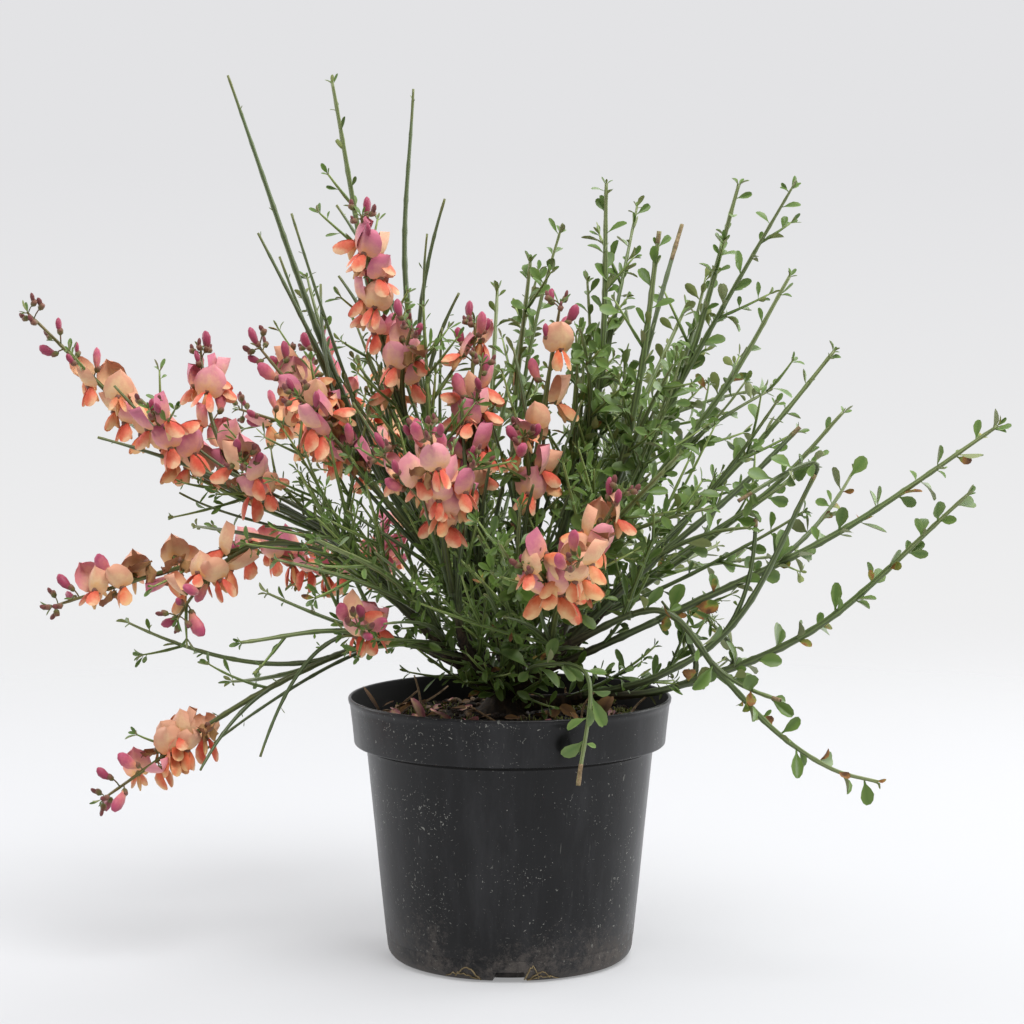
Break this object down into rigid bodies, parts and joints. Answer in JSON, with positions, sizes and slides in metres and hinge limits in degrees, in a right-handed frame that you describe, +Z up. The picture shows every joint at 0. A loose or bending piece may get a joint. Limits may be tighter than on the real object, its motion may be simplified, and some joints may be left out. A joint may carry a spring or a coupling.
{
  "type": "potted scotch broom",
  "caption": "Flowering scotch broom shrub growing in a round moulded nursery pot, with arching green whips, small leaves and pink and peach pea blossoms.",
  "frame": {"origin": "middle of the pot's flat underside", "axes": "+Z up along the pot's axis, +X towards the side with green shoots only, -Y towards the side that the picture shows"},
  "size_m": [0.5692, 0.3669, 0.5182],
  "materials": {
    "pot_plastic": "moulded charcoal plastic, scuffed and dusty",
    "soil": "moist compost with moss and fallen bits",
    "bark": "rough dark brown bark",
    "green_bark": "ridged grey-green bark",
    "blooming_twigs": "soft matt petals, coral pink and peach",
    "leafy_twigs": "small matt green leaves on ridged twigs",
    "bare_twigs": "ridged grey-green whips"
  },
  "bodies": {
    "root": {"pot": "pot_plastic", "potting_soil": "soil", "trunk": "bark", "bough_of_far_left_bloom": "green_bark", "bough_of_left_bloom": "green_bark", "bough_of_arch_left_bloom": "green_bark", "bough_of_low_left_bloom": "green_bark", "bough_of_tall_rods_left": "green_bark", "bough_of_tall_bloom_left": "green_bark", "bough_of_tall_rods_centre": "green_bark", "bough_of_front_left_bloom": "green_bark", "bough_of_front_right_bloom": "green_bark", "bough_of_second_upright_leafy": "green_bark", "bough_of_cut_upright_leafy": "green_bark", "bough_of_tall_right_leafy": "green_bark", "bough_of_leafy_right": "green_bark", "bough_of_right_rod_leafy": "green_bark", "bough_of_right_rods": "green_bark", "bough_of_cut_right_rod": "green_bark", "bough_of_far_right_leafy": "green_bark", "bough_of_low_right_leafy": "green_bark", "bough_of_hanging_right": "green_bark", "bough_of_back_left_bloom": "green_bark", "bough_of_back_right_leafy": "green_bark", "bough_of_back_low_left": "green_bark", "bough_of_back_low_right": "green_bark", "far_left_bloom": "blooming_twigs", "left_bloom": "blooming_twigs", "arch_left_bloom": "blooming_twigs", "low_left_bloom": "blooming_twigs", "low_left_leafy": "leafy_twigs", "tall_rods_left": "bare_twigs", "tall_bloom_left": "leafy_twigs", "tall_rods_centre": "bare_twigs", "centre_bloom": "blooming_twigs", "front_left_bloom": "blooming_twigs", "centre_right_bloom": "blooming_twigs", "front_right_bloom": "blooming_twigs", "first_upright_leafy": "leafy_twigs", "second_upright_leafy": "leafy_twigs", "cut_upright_leafy": "leafy_twigs", "tall_right_leafy": "leafy_twigs", "leafy_right": "leafy_twigs", "right_rod_leafy": "leafy_twigs", "right_rods": "leafy_twigs", "cut_right_rod": "bare_twigs", "far_right_leafy": "leafy_twigs", "low_right_leafy": "leafy_twigs", "broken_right": "bare_twigs", "hanging_right": "leafy_twigs", "front_sprig": "leafy_twigs", "back_left_bloom": "blooming_twigs", "back_centre_leafy": "leafy_twigs", "back_right_leafy": "leafy_twigs", "back_low_left": "leafy_twigs", "back_low_right": "leafy_twigs", "front_centre_leafy": "leafy_twigs", "front_left_leafy": "leafy_twigs", "front_right_leafy": "leafy_twigs"}
  },
  "joints": []
}
